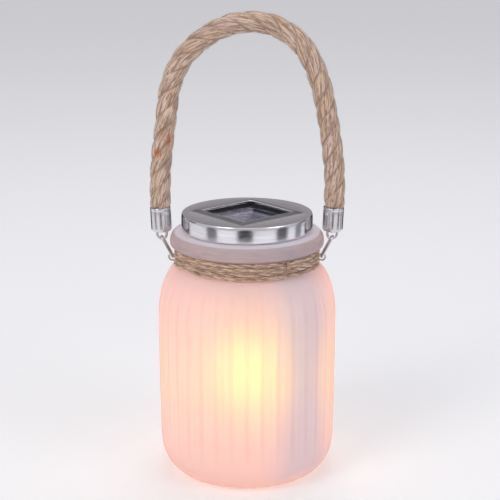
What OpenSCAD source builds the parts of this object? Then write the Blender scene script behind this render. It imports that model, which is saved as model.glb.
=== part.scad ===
// Frosted jar lantern with a solar lid and a rope carry handle.
// Millimetres, +Z up. The origin is the centre of the jar's foot, on the surface it stands on.
// The handle spans the X axis and the front of the jar faces -Y.

/* [Jar] */
// Radius of the jar at its widest
jar_r = 55; // [54.5:0.1:56]
// Height of the jar's rim
rim_z = 153.7; // [152:0.1:158]
// Radius of the round mouth that the lid's plug fits
mouth_r = 38; // [37.8:0.1:38.2]
// Thickness of the glass in the side wall
glass_t = 3.2; // [3:0.1:3.6]
// Radius of the foot ring
foot_r = 39.4; // [38:0.1:41]
// Number of flutes inside the side wall
flutes = 36; // [24:1:40]

/* [Neck binding] */
// Radius of one turn of twine
twine_r = 1.3; // [1:0.05:1.32]
// Radius of the wire of the neck hoop
hoop_wire_r = 0.8; // [0.6:0.05:0.85]

/* [Handle] */
// Radius of the rope
rope_r = 6.5; // [6.2:0.1:6.6]
// Radius of each steel ferrule
ferrule_r = 6.3; // [6.2:0.05:6.35]
// Length of each ferrule
ferrule_l = 15.2; // [14:0.1:16]
// Outward tilt of the ferrules, in degrees
ferrule_tilt = 2.5; // [1:0.5:4]
// Half the thickness of the wire of the handle's links and eyes
link_wire_r = 0.75; // [0.6:0.05:0.75]
// Mean radius of the round ends of a link
link_end_r = 2.4; // [2.3:0.05:2.6]

/* [Lid] */
// Radius of the steel cap
cap_r = 40.2; // [40:0.1:41]
// Height of the steel cap
cap_h = 10; // [9.8:0.1:10.5]
// Side of the square solar window
window_w = 40; // [38:0.5:41]
// Turn of the window about the vertical, in degrees
window_turn = 40.5; // [30:0.5:60]
// Radius of the plug that goes into the mouth
plug_r = 36.6; // [36.2:0.1:36.8]

/* [Lamp] */
// Height of the lowest point of the flame diffuser
flame_low_z = 38; // [30:1:45]
// Largest radius of the flame diffuser
flame_r = 13; // [11:0.5:15]

/* [Hidden] */

$fn = 48;
lathe_fn = 144;

// Jar profile
heel_z = 22;                      // top of the rounded heel
side_r = jar_r - 0.6;             // radius just above the heel
shoulder_z = rim_z - 53.7;        // start of the shoulder
groove_r = 42;                    // outer radius of the neck groove
groove_low_z = rim_z - 20.3;
groove_top_z = rim_z - 10.1;
bead_r = 47.2;                    // outer radius of the bead below the rim
bead_low_z = rim_z - 7.6;
bead_top_z = rim_z - 6.1;
rim_r = 41;                       // outer radius of the flat rim
floor_z = 5;                      // inside floor of the jar
flute_r = 4.3;                    // radius of each flute's round hollow
flute_depth = 0.7;
flute_low_z = 26;
flute_top_z = shoulder_z + 6;

// Neck binding: the hoop lies in the valley between the two lowest turns of twine
hinge_low = [45.8, rim_z - 16.3]; // pivot of each link on its ear, as [x, z]
ear_r = 1.9;                      // mean radius of the round sides of an ear
ear_wire_r = 0.6;
ear_bar = 1;                      // straight length of its top, which the link hangs on
hoop_z = hinge_low[1] - ear_r;
hoop_r = groove_r + 0.1 + hoop_wire_r;
turn_r = 46.05 - twine_r;
turn_zs = [hoop_z - 1.35, hoop_z + 1.35, hoop_z + 4, hoop_z + 6.65];
ear_flat_x = 44.6;                // the twine is pressed flat beyond this at the ears

// Handle
ferrule_foot = [52.3, rim_z - 1.5];  // centre of a ferrule's closed end, as [x, z]
ferrule_wall = 0.5;
ferrule_floor = 1.4;
ferrule_edge = 2.2;               // rounding of the closed end
eye_half_w = 2.9;                 // half the spacing of an eye's legs
eye_drop = 4.95;                  // from the ferrule's closed end down to the eye's lowest wire
eye_leg_in = 2.6;
rope_start = eye_leg_in;          // the rope's end rests on the legs of the eye
rope_in_r = 5.6;                  // radius of the rope squeezed inside a ferrule
hinge_top = ferrule_foot - eye_drop * [sin(ferrule_tilt), cos(ferrule_tilt)];
link_low = hinge_low - [0, 1.55]; // centre of the link's lowest wire
link_top = hinge_top + [0.4, 1.6];
link_len = norm(link_top - link_low);
link_lean = atan2(link_top[0] - link_low[0], link_top[1] - link_low[1]);
link_turn = 90;                   // turn of each link about its length: its open side faces outward

// Centre line of the rope above the ferrules, as [x, height above the rim]
rope_route = [[-52.9, 22], [-52.6, 34], [-51.4, 47], [-49.7, 60], [-48, 72], [-46.4, 84],
              [-42.8, 95.5], [-37, 105.5], [-28.5, 114], [-19, 120.3], [-9, 124.3],
              [1.5, 125.6], [12, 124.6], [21.5, 120.8], [30.5, 114.3], [37, 105.5],
              [41.8, 95.5], [45.2, 84.5], [47.8, 72.5], [50, 60], [51.8, 47], [53, 34],
              [53.2, 22]];

// Lid heights
cap_low_z = rim_z + 0.3;
cap_top_z = cap_low_z + cap_h;
cap_t = 0.6;                      // sheet thickness of the cap's skirt
cap_top_t = 1;
flange_low_z = rim_z + 0.2;
housing_top_z = cap_top_z - cap_top_t - 0.1;
housing_r = cap_r - cap_t - 0.2;
housing_edge = 1.4;               // chamfer inside the cap's rounded edge
plug_low_z = rim_z - 16.2;
cover_t = 1.6;
cover_low_z = plug_low_z - cover_t;
cavity_r = plug_r - 2.2;
cavity_top_z = rim_z + 2.7;
pocket_w = window_w + 3;
pocket_low_z = rim_z + 5.1;
panel_top_z = cap_top_z - 3;
panel_low_z = panel_top_z - 1.9;  // underside of the solar cell

// Parts inside the lid
cell_y = 13;                      // the battery lies along X at this Y
cell_z = rim_z - 7.7;
cell_r = 5.2;
cell_low_x = -23.3;
cell_len = 44.5;
cell_end_x = cell_low_x + cell_len;
contact_wall_x = [-25.2, 24.2];   // inner post faces at the two ends of the battery
contact_wall_t = 1.4;
board_size = [44, 22, 1.6];
board_y = -10.5;
board_z = rim_z - 4.2;            // underside of the circuit board
post_r = 2;                       // posts that the circuit board is pressed up against
post_at = [for (x = [-12, 12], y = [-17, -4]) [x, y]];
boss_r = 3;
boss_at = [for (a = [60, 120, 240, 300]) 30.5 * [cos(a), sin(a)]];
door_size = [46, 12.4];
door_tab = [7, 8];
door_gap = 0.3;
door_screw_x = 27;
switch_y = -16;
switch_travel = 3.5;

// Lamp
stem_r = 3.4;
stem_fit = 0.05;
hub_r = 6;
hub_low_z = cover_low_z - 3;
collar_low_z = 90;
collar_top_z = 98;
stem_low_z = 93;
flame_wall = 1.2;
flame_neck_r = 9.4;
led_count = 3;

// Points of an ellipse arc about [cx, cz]
function arc(cx, cz, a, b, from, to, steps) =
    [for (i = [0 : steps]) let (t = from + (to - from) * i / steps) [cx + a * cos(t), cz + b * sin(t)]];

function unit(v) = v / norm(v);
function tangent(p, i) = unit(p[min(i + 1, len(p) - 1)] - p[max(i - 1, 0)]);

// A tube of round section swept along points, with a radius for each point.
// side_dir is never parallel to the path.
module tube(path, radii, side_dir, sides = 12) {
    n = len(path);
    rings = [for (i = [0 : n - 1])
        let (t = tangent(path, i), u = unit(cross(t, side_dir)), v = cross(t, u))
        for (k = [0 : sides - 1]) path[i] + radii[i] * (cos(360 * k / sides) * u + sin(360 * k / sides) * v)];
    walls = [for (i = [0 : n - 2], k = [0 : sides - 1])
        [i * sides + k, i * sides + (k + 1) % sides, (i + 1) * sides + (k + 1) % sides, (i + 1) * sides + k]];
    first = [for (k = [sides - 1 : -1 : 0]) k];
    last = [for (k = [0 : sides - 1]) (n - 1) * sides + k];
    polyhedron(points = rings, faces = concat(walls, [first, last]), convexity = 6);
}

module wire_run(path, r, side_dir = [0, 1, 0]) {
    tube(path, [for (p = path) r], side_dir, 8);
}

// Ring of wire about Z
module torus(ring_r, wire_r, turn = 360) {
    rotate_extrude(angle = turn, $fn = lathe_fn) translate([ring_r, 0]) circle(r = wire_r, $fn = 24);
}

module glass_jar() {
    side_in = jar_r - glass_t;
    outer = concat([[0, 2], [27, 2]], arc(31, 2, 4, 2, 180, 270, 4), [[foot_r, 0]],
                   arc(foot_r, heel_z, side_r - foot_r, heel_z, -82, 0, 12),
                   [[jar_r - 0.2, 46], [jar_r, 70]],
                   arc(38.2, shoulder_z, jar_r - 38.2, 34.2, 0, 76, 16),
                   [[groove_r, groove_low_z], [groove_r, groove_top_z]],
                   arc(45.2, bead_low_z, bead_r - 45.2, 2, -90, 0, 4),
                   arc(rim_r, bead_top_z, bead_r - rim_r, rim_z - bead_top_z, 0, 90, 8));
    inner = concat([[mouth_r, rim_z], [mouth_r, shoulder_z + 31]],
                   arc(mouth_r, shoulder_z, side_in - mouth_r, 31, 84, 0, 12),
                   arc(foot_r, heel_z, side_in - foot_r, heel_z - floor_z, 0, -90, 8),
                   [[0, floor_z]]);
    color([0.95, 0.86, 0.82]) difference() {
        rotate_extrude($fn = lathe_fn) polygon(concat(outer, inner));
        for (i = [0 : flutes - 1]) rotate([0, 0, i * 360 / flutes - 90])
            translate([side_in + flute_depth - flute_r, 0, flute_low_z])
                cylinder(r = flute_r, h = flute_top_z - flute_low_z, $fn = 24);
    }
}

// Closed eye of the hoop, with a straight bar along X at its top and its foot
module ear() {
    for (s = [-1, 1]) translate([-ear_bar / 2, 0, s * ear_r]) rotate([0, 90, 0])
        cylinder(r = ear_wire_r, h = ear_bar, $fn = 24);
    for (s = [0, 180]) rotate([0, s, 0]) translate([ear_bar / 2, 0, 0]) rotate([90, 90, 0])
        torus(ear_r, ear_wire_r, 180);
}

module neck_hoop() {
    color([0.7, 0.7, 0.7]) {
        translate([0, 0, hoop_z]) torus(hoop_r, hoop_wire_r);
        for (s = [-1, 1]) translate([s * hinge_low[0], 0, hoop_z]) ear();
    }
}

module neck_twine() {
    slot_half = ear_wire_r + 0.3;
    slot_low_x = hinge_low[0] - ear_bar / 2 - ear_r - ear_wire_r - 0.3;
    slot_h = 2 * (ear_r + ear_wire_r + 0.3);
    color([0.68, 0.54, 0.45]) difference() {
        for (z = turn_zs) translate([0, 0, z]) torus(turn_r, twine_r);
        for (s = [0, 180]) rotate([0, 0, s]) {
            translate([ear_flat_x, -20, hoop_z - 5]) cube([5, 40, 16]);
            translate([slot_low_x, -slot_half, hoop_z - slot_h / 2]) cube([5, 2 * slot_half, slot_h]);
        }
    }
}

// Oval link, its long side along Z, lying in the XZ plane
module oval_link(long) {
    straight = long - 2 * link_end_r;
    color([0.75, 0.75, 0.76]) {
        for (s = [-1, 1]) translate([s * link_end_r, 0, -straight / 2])
            cylinder(r = link_wire_r, h = straight, $fn = 24);
        for (s = [0, 180]) rotate([0, s, 0]) translate([0, 0, straight / 2]) rotate([90, 0, 0])
            torus(link_end_r, link_wire_r, 180);
    }
}

module place_link() {
    mid = (link_low + link_top) / 2;
    translate([mid[0], 0, mid[1]]) rotate([0, link_lean, 0]) rotate([0, 0, link_turn]) oval_link(link_len);
}

module left_link() { mirror([1, 0, 0]) place_link(); }

module right_link() { place_link(); }

// The frame of a ferrule: its closed end at the origin, its mouth towards +Z
module at_ferrule() {
    translate([ferrule_foot[0], 0, ferrule_foot[1]]) rotate([0, ferrule_tilt, 0]) children();
}

module ferrule() {
    outer = concat([[0, 0]], arc(ferrule_r - ferrule_edge, ferrule_edge, ferrule_edge, ferrule_edge, -90, 0, 6),
                   [[ferrule_r, ferrule_l], [ferrule_r - ferrule_wall, ferrule_l]]);
    inner = concat(arc(ferrule_r - ferrule_edge, ferrule_edge + ferrule_wall, ferrule_edge - ferrule_wall,
                       ferrule_edge + ferrule_wall - ferrule_floor, 0, -90, 6), [[0, ferrule_floor]]);
    color([0.8, 0.79, 0.8]) difference() {
        rotate_extrude($fn = 96) polygon(concat(outer, inner));
        for (s = [-1, 1]) translate([s * eye_half_w, 0, -1])
            cylinder(r = link_wire_r + 0.02, h = ferrule_floor + 2, $fn = 24);
    }
}

module left_ferrule() { mirror([1, 0, 0]) at_ferrule() ferrule(); }

module right_ferrule() { at_ferrule() ferrule(); }

// Wire eye whose two legs go up through the closed end of its ferrule
module eye() {
    bend_z = eye_half_w - eye_drop;
    color([0.75, 0.75, 0.76]) {
        translate([0, 0, bend_z]) rotate([-90, 0, 0]) torus(eye_half_w, link_wire_r, 180);
        for (s = [-1, 1]) translate([s * eye_half_w, 0, bend_z])
            cylinder(r = link_wire_r, h = eye_leg_in - bend_z, $fn = 24);
    }
}

module left_eye() { mirror([1, 0, 0]) at_ferrule() eye(); }

module right_eye() { at_ferrule() eye(); }

// A point on a ferrule's axis, its side being -1 or 1
function on_ferrule(side, along) =
    [side * (ferrule_foot[0] + along * sin(ferrule_tilt)), 0, ferrule_foot[1] + along * cos(ferrule_tilt)];

module handle_rope() {
    ends = [rope_start, ferrule_l, ferrule_l + 0.4];
    path = concat([for (d = ends) on_ferrule(-1, d)],
                  [for (p = rope_route) [p[0], 0, rim_z + p[1]]],
                  [for (i = [2, 1, 0]) on_ferrule(1, ends[i])]);
    n = len(path);
    radii = [for (i = [0 : n - 1]) min(i, n - 1 - i) < 2 ? rope_in_r : rope_r];
    color([0.74, 0.63, 0.53]) tube(path, radii, [0, 1, 0]);
}

module square_at(w, low_z, h) {
    rotate([0, 0, window_turn]) translate([-w / 2, -w / 2, low_z]) cube([w, w, h]);
}

module lid_cap() {
    edge_r = 1.6;
    outer = concat([[cap_r, cap_low_z]], arc(cap_r - edge_r, cap_top_z - edge_r, edge_r, edge_r, 0, 90, 6),
                   [[0, cap_top_z]]);
    inner = [[0, cap_top_z - cap_top_t], [cap_r - edge_r, cap_top_z - cap_top_t],
             [cap_r - cap_t, cap_top_z - edge_r], [cap_r - cap_t, cap_low_z]];
    color([0.72, 0.71, 0.72]) difference() {
        rotate_extrude($fn = lathe_fn) polygon(concat(outer, inner));
        square_at(window_w, cap_top_z - 3, 6);
        square_at(window_w + 2, cap_top_z - 0.7, 2);
        square_at(window_w + 4, cap_top_z - 0.35, 2);
    }
}

module window_gasket() {
    low = pocket_low_z + 0.1;
    color([0.05, 0.05, 0.06]) difference() {
        square_at(window_w + 2.6, low, housing_top_z - low);
        square_at(window_w - 0.4, low - 1, 12);
    }
}

module panel_cover() {
    color([0.2, 0.2, 0.26, 0.6]) square_at(window_w - 0.8, panel_top_z - 1, 1);
}

module solar_cell() {
    color([0.1, 0.11, 0.17]) square_at(window_w - 1, panel_low_z, 0.8);
}

module lid_housing() {
    post_h = cavity_top_z - board_z - board_size[2];
    color([0.1, 0.1, 0.11]) {
        difference() {
            union() {
                rotate_extrude($fn = lathe_fn) polygon([
                    [0, flange_low_z], [housing_r, flange_low_z], [housing_r, housing_top_z - housing_edge],
                    [housing_r - housing_edge, housing_top_z], [0, housing_top_z]]);
                translate([0, 0, plug_low_z])
                    cylinder(r = plug_r, h = flange_low_z - plug_low_z + 1, $fn = lathe_fn);
            }
            difference() {
                translate([0, 0, plug_low_z - 1])
                    cylinder(r = cavity_r, h = cavity_top_z - plug_low_z + 1, $fn = lathe_fn);
                for (p = boss_at) translate([p[0], p[1], plug_low_z]) cylinder(r = boss_r, h = 30);
                translate([door_screw_x, cell_y, plug_low_z]) cylinder(r = 2.4, h = 30);
                for (x = contact_wall_x) translate([x, cell_y - cell_r, plug_low_z + 2])
                    cube([contact_wall_t, 2 * cell_r, 30]);
                for (p = post_at) translate([p[0], p[1], cavity_top_z - post_h])
                    cylinder(r = post_r, h = post_h + 1);
            }
            square_at(pocket_w, pocket_low_z, 12);
            for (p = boss_at) translate([p[0], p[1], plug_low_z - 1]) cylinder(r = 1.2, h = 12, $fn = 24);
            translate([door_screw_x, cell_y, plug_low_z - 1]) cylinder(r = 1.2, h = 12, $fn = 24);
            translate([8, -6, cavity_top_z - 1]) cylinder(r = 1.8, h = 5, $fn = 24);
        }
    }
}

module lid_seal() {
    lip_r = mouth_r - 0.06;
    base_r = plug_r + 0.6;
    lips = [for (i = [0 : 2]) rim_z - 12.5 + 3.6 * i];
    side = [for (z = lips) each [[base_r, z], [lip_r, z + 1], [lip_r, z + 1.5], [base_r, z + 2.4]]];
    color([0.8, 0.8, 0.8]) rotate_extrude($fn = lathe_fn)
        polygon(concat([[plug_r + 0.02, rim_z - 13]], [[base_r, rim_z - 13]], side,
                       [[base_r, rim_z - 2], [plug_r + 0.02, rim_z - 2]]));
}

module circuit_board() {
    color([0.1, 0.35, 0.2]) translate([-board_size[0] / 2, board_y - board_size[1] / 2, board_z])
        cube(board_size);
}

module board_parts() {
    color([0.12, 0.12, 0.13]) {
        translate([-4, board_y - 2, board_z - 1.5]) cube([6, 5, 1.5]);
        translate([10, board_y + 3, board_z - 1.2]) cube([4, 3, 1.2]);
        for (x = [13, 18.5]) translate([x, board_y - 4, board_z - 6]) cylinder(r = 2.2, h = 6);
        translate([-14, board_y - 3, board_z - 4]) cylinder(r = 3, h = 4);
        for (x = [-16, -12]) translate([x, board_y + 4, board_z - 1]) cube([2.4, 1.4, 1]);
    }
}

module battery() {
    nub = 1.2;
    color([0.2, 0.5, 0.3]) translate([cell_low_x, cell_y, cell_z]) rotate([0, 90, 0]) {
        cylinder(r = 1.9, h = cell_len);
        translate([0, 0, nub]) cylinder(r = cell_r, h = cell_len - nub);
    }
}

module battery_spring() {
    turns = 3.5;
    steps = 56;
    room = contact_wall_x[1] - cell_end_x - 0.8;
    path = [for (i = [0 : steps]) let (t = i / steps, a = 360 * turns * t, r = 4.4 - 2.2 * t)
        [contact_wall_x[1] - 0.4 - room * t, cell_y + r * cos(a), cell_z + r * sin(a)]];
    color([0.8, 0.8, 0.8]) wire_run(path, 0.35, [1, 0, 0]);
}

module battery_plate() {
    low_x = contact_wall_x[0] + contact_wall_t;
    color([0.8, 0.8, 0.8]) translate([low_x, cell_y - 4, cell_z - 4]) cube([0.4, 8, 8]);
}

module door_outline(extra) {
    translate([-door_size[0] / 2 - extra, cell_y - door_size[1] / 2 - extra])
        square([door_size[0] + 2 * extra, door_size[1] + 2 * extra]);
    translate([door_size[0] / 2 - 1, cell_y - door_tab[1] / 2 - extra])
        square([door_tab[0] + 1 + extra, door_tab[1] + 2 * extra]);
}

module base_cover() {
    color([0.1, 0.1, 0.11]) difference() {
        union() {
            translate([0, 0, cover_low_z]) cylinder(r = plug_r - 0.3, h = cover_t, $fn = lathe_fn);
            translate([0, 0, hub_low_z]) cylinder(r = hub_r, h = cover_low_z - hub_low_z + 0.5);
        }
        translate([0, 0, cover_low_z - 1]) linear_extrude(cover_t + 2) door_outline(door_gap);
        translate([0, 0, hub_low_z - 1]) cylinder(r = stem_r + stem_fit, h = 10);
        translate([-4.2, switch_y - 1.7, cover_low_z - 1]) cube([8.4, 3.4, cover_t + 2]);
        for (p = boss_at) translate([p[0], p[1], cover_low_z - 1]) cylinder(r = 1.5, h = cover_t + 2, $fn = 24);
    }
}

// Screw that points up, the underside of its head at the origin
module screw(long) {
    head_h = 1.3;
    difference() {
        union() {
            translate([0, 0, -head_h]) cylinder(r = 2.3, h = head_h);
            cylinder(r = 1.15, h = long, $fn = 24);
        }
        for (a = [0, 90]) rotate([0, 0, a]) translate([-1.5, -0.25, -head_h - 1]) cube([3, 0.5, 1.7]);
    }
}

module cover_screws() {
    color([0.7, 0.7, 0.72]) for (p = boss_at) translate([p[0], p[1], cover_low_z]) screw(10);
}

module switch_case() {
    low_z = plug_low_z + 0.05;
    color([0.75, 0.75, 0.77]) difference() {
        translate([-5.5, switch_y - 3.5, low_z]) cube([11, 7, 4.6]);
        translate([-4.4, switch_y - 1.7, low_z - 1]) cube([8.8, 3.4, 4.4]);
    }
}

module switch_slider() {
    color([0.85, 0.85, 0.85]) translate([-switch_travel / 2, switch_y, 0]) {
        translate([-1.2, -1.3, cover_low_z - 1]) cube([2.4, 2.6, 5.2]);
        translate([-2.2, -1.9, cover_low_z - 1.7]) cube([4.4, 3.8, 1.4]);
    }
}

module lamp_stem() {
    color([0.15, 0.15, 0.16]) difference() {
        translate([0, 0, stem_low_z]) cylinder(r = stem_r, h = cover_low_z + 1 - stem_low_z);
        translate([0, 0, stem_low_z - 1]) cylinder(r = stem_r - 1.1, h = 60);
    }
}

module lamp_collar() {
    mouth = flame_neck_r + 1.4;
    bore = stem_r + stem_fit;
    grip = flame_neck_r + 0.1;
    color([0.15, 0.15, 0.16]) rotate_extrude() polygon([
        [bore, stem_low_z - 1], [grip, stem_low_z - 1], [grip, collar_low_z - 4], [mouth, collar_low_z - 4],
        [mouth, collar_low_z + 2], [stem_r + 1.8, collar_top_z], [bore, collar_top_z]]);
}

module led_board() {
    color([0.9, 0.9, 0.88]) translate([0, 0, collar_low_z - 0.4]) difference() {
        cylinder(r = flame_neck_r - flame_wall - 0.2, h = 1.2);
        translate([0, 0, -1]) cylinder(r = 1.6, h = 4);
    }
}

module leds() {
    color([1, 0.8, 0.4]) for (i = [0 : led_count - 1]) rotate([0, 0, i * 360 / led_count + 30])
        translate([4.4, 0, collar_low_z - 3.4]) {
            cylinder(r = 1.5, h = 3, $fn = 24);
            sphere(r = 1.5, $fn = 24);
        }
}

module flame_diffuser() {
    belly_z = flame_low_z + 20;
    neck_z = collar_low_z + 1.4;
    outer = concat([[0, flame_low_z]], arc(0, belly_z, flame_r, 20, -80, 30, 12),
                   [[flame_neck_r, collar_low_z - 8], [flame_neck_r, neck_z]]);
    inner = concat([[flame_neck_r - flame_wall, neck_z], [flame_neck_r - flame_wall, collar_low_z - 8]],
                   arc(0, belly_z, flame_r - flame_wall, 20 - flame_wall, 30, -80, 12),
                   [[0, flame_low_z + flame_wall]]);
    color([1, 0.85, 0.45, 0.8]) rotate_extrude($fn = 72) polygon(concat(outer, inner));
}

module panel_leads() {
    color([0.7, 0.1, 0.1]) for (dx = [-0.75, 0.75])
        wire_run([[8 + dx, -6, panel_low_z - 0.05], [8 + dx, -6, cavity_top_z],
                  [8 + dx, -6.4, cavity_top_z - 1.4], [8 + dx, -7, board_z + board_size[2] + 0.15]],
                 0.5, [1, 0, 0]);
}

module lamp_leads() {
    color([0.15, 0.15, 0.16]) for (dx = [-0.8, 0.8])
        wire_run([[dx, -5, board_z - 0.05], [dx, -4.6, board_z - 3], [dx, -3, board_z - 6.5],
                  [dx, -1, board_z - 9.5], [dx, -0.2, board_z - 13], [dx, 0, 120], [dx, 0, 105],
                  [dx, 0, collar_low_z + 1]], 0.5, [1, 0, 0]);
}

module battery_leads() {
    top_z = board_z + board_size[2] + 0.05;
    color([0.7, 0.1, 0.1]) {
        wire_run([[-23.2, cell_y - 3, cell_z + 4.1], [-23.2, cell_y - 3, cell_z + 4.8],
                  [-23, cell_y - 4.4, cell_z + 6.4], [-22.4, cell_y - 8, top_z + 1.6], [-21, -1.8, top_z + 1.6],
                  [-20.6, -2.6, top_z + 0.9], [-20.6, -2.6, top_z]], 0.5, [1, 0, 0.2]);
        wire_run([[23.6, cell_y - 4, cell_z + 2.8], [23.4, cell_y - 5, cell_z + 5], [22.4, cell_y - 8, top_z + 1.6],
                  [21, -1.8, top_z + 1.6], [20.6, -2.6, top_z + 0.9], [20.6, -2.6, top_z]], 0.5, [1, 0, 0.2]);
    }
}

module battery_door() {
    color([0.12, 0.12, 0.13]) translate([0, 0, cover_low_z]) difference() {
        linear_extrude(cover_t - 0.2) door_outline(0);
        translate([door_screw_x, cell_y, -1]) cylinder(r = 1.2, h = cover_t + 2, $fn = 24);
        for (i = [0 : 3]) translate([-20 + i * 2, cell_y - 4, -1]) cube([0.8, 8, 1.5]);
    }
}

module door_screw() {
    color([0.7, 0.7, 0.72]) translate([door_screw_x, cell_y, cover_low_z]) screw(8);
}

glass_jar();
neck_hoop();
neck_twine();
left_link();
right_link();
handle_rope();
left_ferrule();
right_ferrule();
left_eye();
right_eye();
lid_cap();
window_gasket();
panel_cover();
solar_cell();
lid_housing();
lid_seal();
circuit_board();
board_parts();
battery();
battery_spring();
battery_plate();
base_cover();
cover_screws();
switch_case();
lamp_stem();
lamp_collar();
led_board();
leds();
flame_diffuser();
panel_leads();
lamp_leads();
battery_leads();
battery_door();
door_screw();
switch_slider();
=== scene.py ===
"""Looks of a frosted jar lantern with a solar lid and a rope handle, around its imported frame."""

import math

import bpy
import numpy as np
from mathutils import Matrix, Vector


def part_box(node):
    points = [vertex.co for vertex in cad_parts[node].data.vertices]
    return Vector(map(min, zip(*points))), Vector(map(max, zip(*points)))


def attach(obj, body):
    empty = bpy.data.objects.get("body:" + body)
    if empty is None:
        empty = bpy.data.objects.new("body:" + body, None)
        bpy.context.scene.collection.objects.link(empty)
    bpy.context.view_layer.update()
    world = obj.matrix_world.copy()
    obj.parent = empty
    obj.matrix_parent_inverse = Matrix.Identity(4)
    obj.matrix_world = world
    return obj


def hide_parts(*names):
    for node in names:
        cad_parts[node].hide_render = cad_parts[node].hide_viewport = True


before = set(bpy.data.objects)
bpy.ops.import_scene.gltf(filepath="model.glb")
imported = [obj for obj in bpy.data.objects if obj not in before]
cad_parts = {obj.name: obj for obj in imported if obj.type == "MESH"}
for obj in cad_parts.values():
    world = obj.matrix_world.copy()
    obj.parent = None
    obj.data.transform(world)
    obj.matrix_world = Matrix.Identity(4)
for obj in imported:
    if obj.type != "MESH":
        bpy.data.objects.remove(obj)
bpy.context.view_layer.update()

MM = 0.001

# Jar, in millimetres
RIM_Z = 153.7
JAR_R = 55.0
SIDE_R = 54.4
MOUTH_R = 38.0
MOUTH_LOW_Z = 133.0
INSIDE_R = 51.8
INSIDE_RISE = 31.0
FOOT_R = 39.4
HEEL_Z = 22.0
FLOOR_Z = 5.0
RECESS_R = 27.0
RECESS_UP = 2.0
RECESS_EDGE = 4.0
TAPER_Z = 46.0
FULL_Z = 70.0
SHOULDER_Z = 100.0
SHOULDER_RISE = 34.2
SHOULDER_X = 38.2
GROOVE_R = 42.0
GROOVE_LOW_Z = 133.4
GROOVE_TOP_Z = 143.6
BEAD_R = 47.2
BEAD_LOW_Z = 146.1
BEAD_TOP_Z = 147.6
BEAD_EDGE = 2.0
RIM_R = 41.0
FLUTES = 36
FLUTE_DEPTH = 0.8
FLUTE_LOW_Z = 26.0
FLUTE_TOP_Z = 112.0
JAR_SIDES = 432

# Rope handle
ROPE_R = 6.5
ROPE_IN_R = 5.6
ROPE_LAY = 36.0
STRANDS = 3
STRAND_OFFSET = 2.65
STRAND_DEEP = 3.85
STRAND_WIDE = 4.7
GROOVE_REACH = 5.45
YARNS = 11
YARN_BUMP = 0.2
YARN_TURN = -0.2
FERRULE_FOOT = (52.3, 152.2)
FERRULE_TILT = math.radians(2.5)
FERRULE_LEN = 15.2
FERRULE_R = 6.3
FERRULE_EDGE = 2.2
FERRULE_WALL = 0.6
FERRULE_SIDES = 72
ROPE_START = 2.6
ROPE_SIDES = 54
ROPE_FUZZ = 800
FUZZ_FROM_R = 5.6

# Heights at which no loose fibre leaves the rope: the middle, and how far they reach
BARE_BAND = 160.0, 9.5

# Centre line of the rope above its ferrules, as (x, height above the rim)
ROPE_ROUTE = [
    (-52.9, 22), (-52.6, 34), (-51.4, 47), (-49.7, 60), (-48, 72), (-46.4, 84),
    (-42.8, 95.5), (-37, 105.5), (-28.5, 114), (-19, 120.3), (-9, 124.3),
    (1.5, 125.6), (12, 124.6), (21.5, 120.8), (30.5, 114.3), (37, 105.5),
    (41.8, 95.5), (45.2, 84.5), (47.8, 72.5), (50, 60), (51.8, 47), (53, 34),
    (53.2, 22),
]

# Pale, golden and dark shades of the rope and the twine, and what a stain leaves of them
ROPE_SHADES = (0.97, 0.74, 0.63), (0.90, 0.65, 0.46), (0.40, 0.25, 0.18)
TWINE_SHADES = (0.97, 0.71, 0.57), (0.90, 0.63, 0.44), (0.40, 0.25, 0.165)
ROPE_STAIN = (0.92, 0.46, 0.30)

# Stains on the rope: middle and half sizes
ROPE_STAINS = [((-47.0, -5.5, 210.0), (1.6, 4.0, 4.6)), ((-54.0, -5.2, 202.0), (1.8, 4.0, 3.0))]

# Twine round the neck
TWINE_TURNS = 4
TWINE_LOW_Z = 134.3
TWINE_PITCH = 2.62
TWINE_STEP_AT = -128.0
TWINE_STEP_LONG = 40.0
TWINE_TAIL = 26.0
TWINE_TUCK = 1.3
TWINE_RING_R = 44.75
TWINE_FLAT_X = 44.6
TWINE_SPUN_R = 1.38
TWINE_FUZZ = 520
TWINE_FUZZ_FROM_R = 45.2
TWINE_FUZZ_TO_X = 41.0
PLY_SIDES = 12
HITCH_AT = -59.0

# Lay of the wound twine and of its hitch: plies, radius of a ply, its offset and the length of a turn
WOUND_LAY = (3, 0.72, 0.56, 19.0)
HITCH_LAY = (2, 0.38, 0.3, 5.0)

# The hitch, as (radius, way along the twine, height)
HITCH_ROUTE = [
    (44.3, 1.2, 143.3), (45.6, 0.8, 143.3), (46.3, 0.3, 142.4), (46.5, 0.0, 140.9),
    (46.5, -0.3, 139.2), (46.3, -0.5, 137.9), (45.4, -0.9, 137.3), (44.4, -1.2, 137.6),
]

# Lid
CAP_R = 40.2
CAP_LOW_Z = 154.0
CAP_TOP_Z = 164.0
CAP_T = 0.6
CAP_TOP_T = 1.0
CAP_EDGE_R = 0.6
CAP_EDGE_DEEP = 3.2
CAP_BULGE = 0.16
CAP_BULGE_UP = 5.0
CAP_SIDES = 360
WINDOW_W = 40.0
WINDOW_TURN = math.radians(40.5)
FRAME_W = 48.4
FRAME_RISE = 1.0
FRAME_EDGE = 0.4

chance = np.random.default_rng(7)


# ------ nodes
def fill(tree, node, inputs):
    """Sets a node's inputs to plain values or to other nodes' outputs."""
    for key, value in dict(inputs).items():
        if isinstance(value, bpy.types.NodeSocket):
            tree.links.new(value, node.inputs[key])
        else:
            node.inputs[key].default_value = value


def put(tree, kind, inputs=(), **settings):
    """Adds a node with its inputs and settings."""
    made = tree.nodes.new(kind)
    for key, value in settings.items():
        setattr(made, key, value)
    fill(tree, made, inputs)
    return made


def maths(tree, operation, a, b=0.0, clamp=False):
    return put(tree, "ShaderNodeMath", {0: a, 1: b}, operation=operation, use_clamp=clamp).outputs[0]


def product(tree, a, b):
    return maths(tree, "MULTIPLY", a, b)


def total(tree, a, b):
    return maths(tree, "ADD", a, b)


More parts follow.
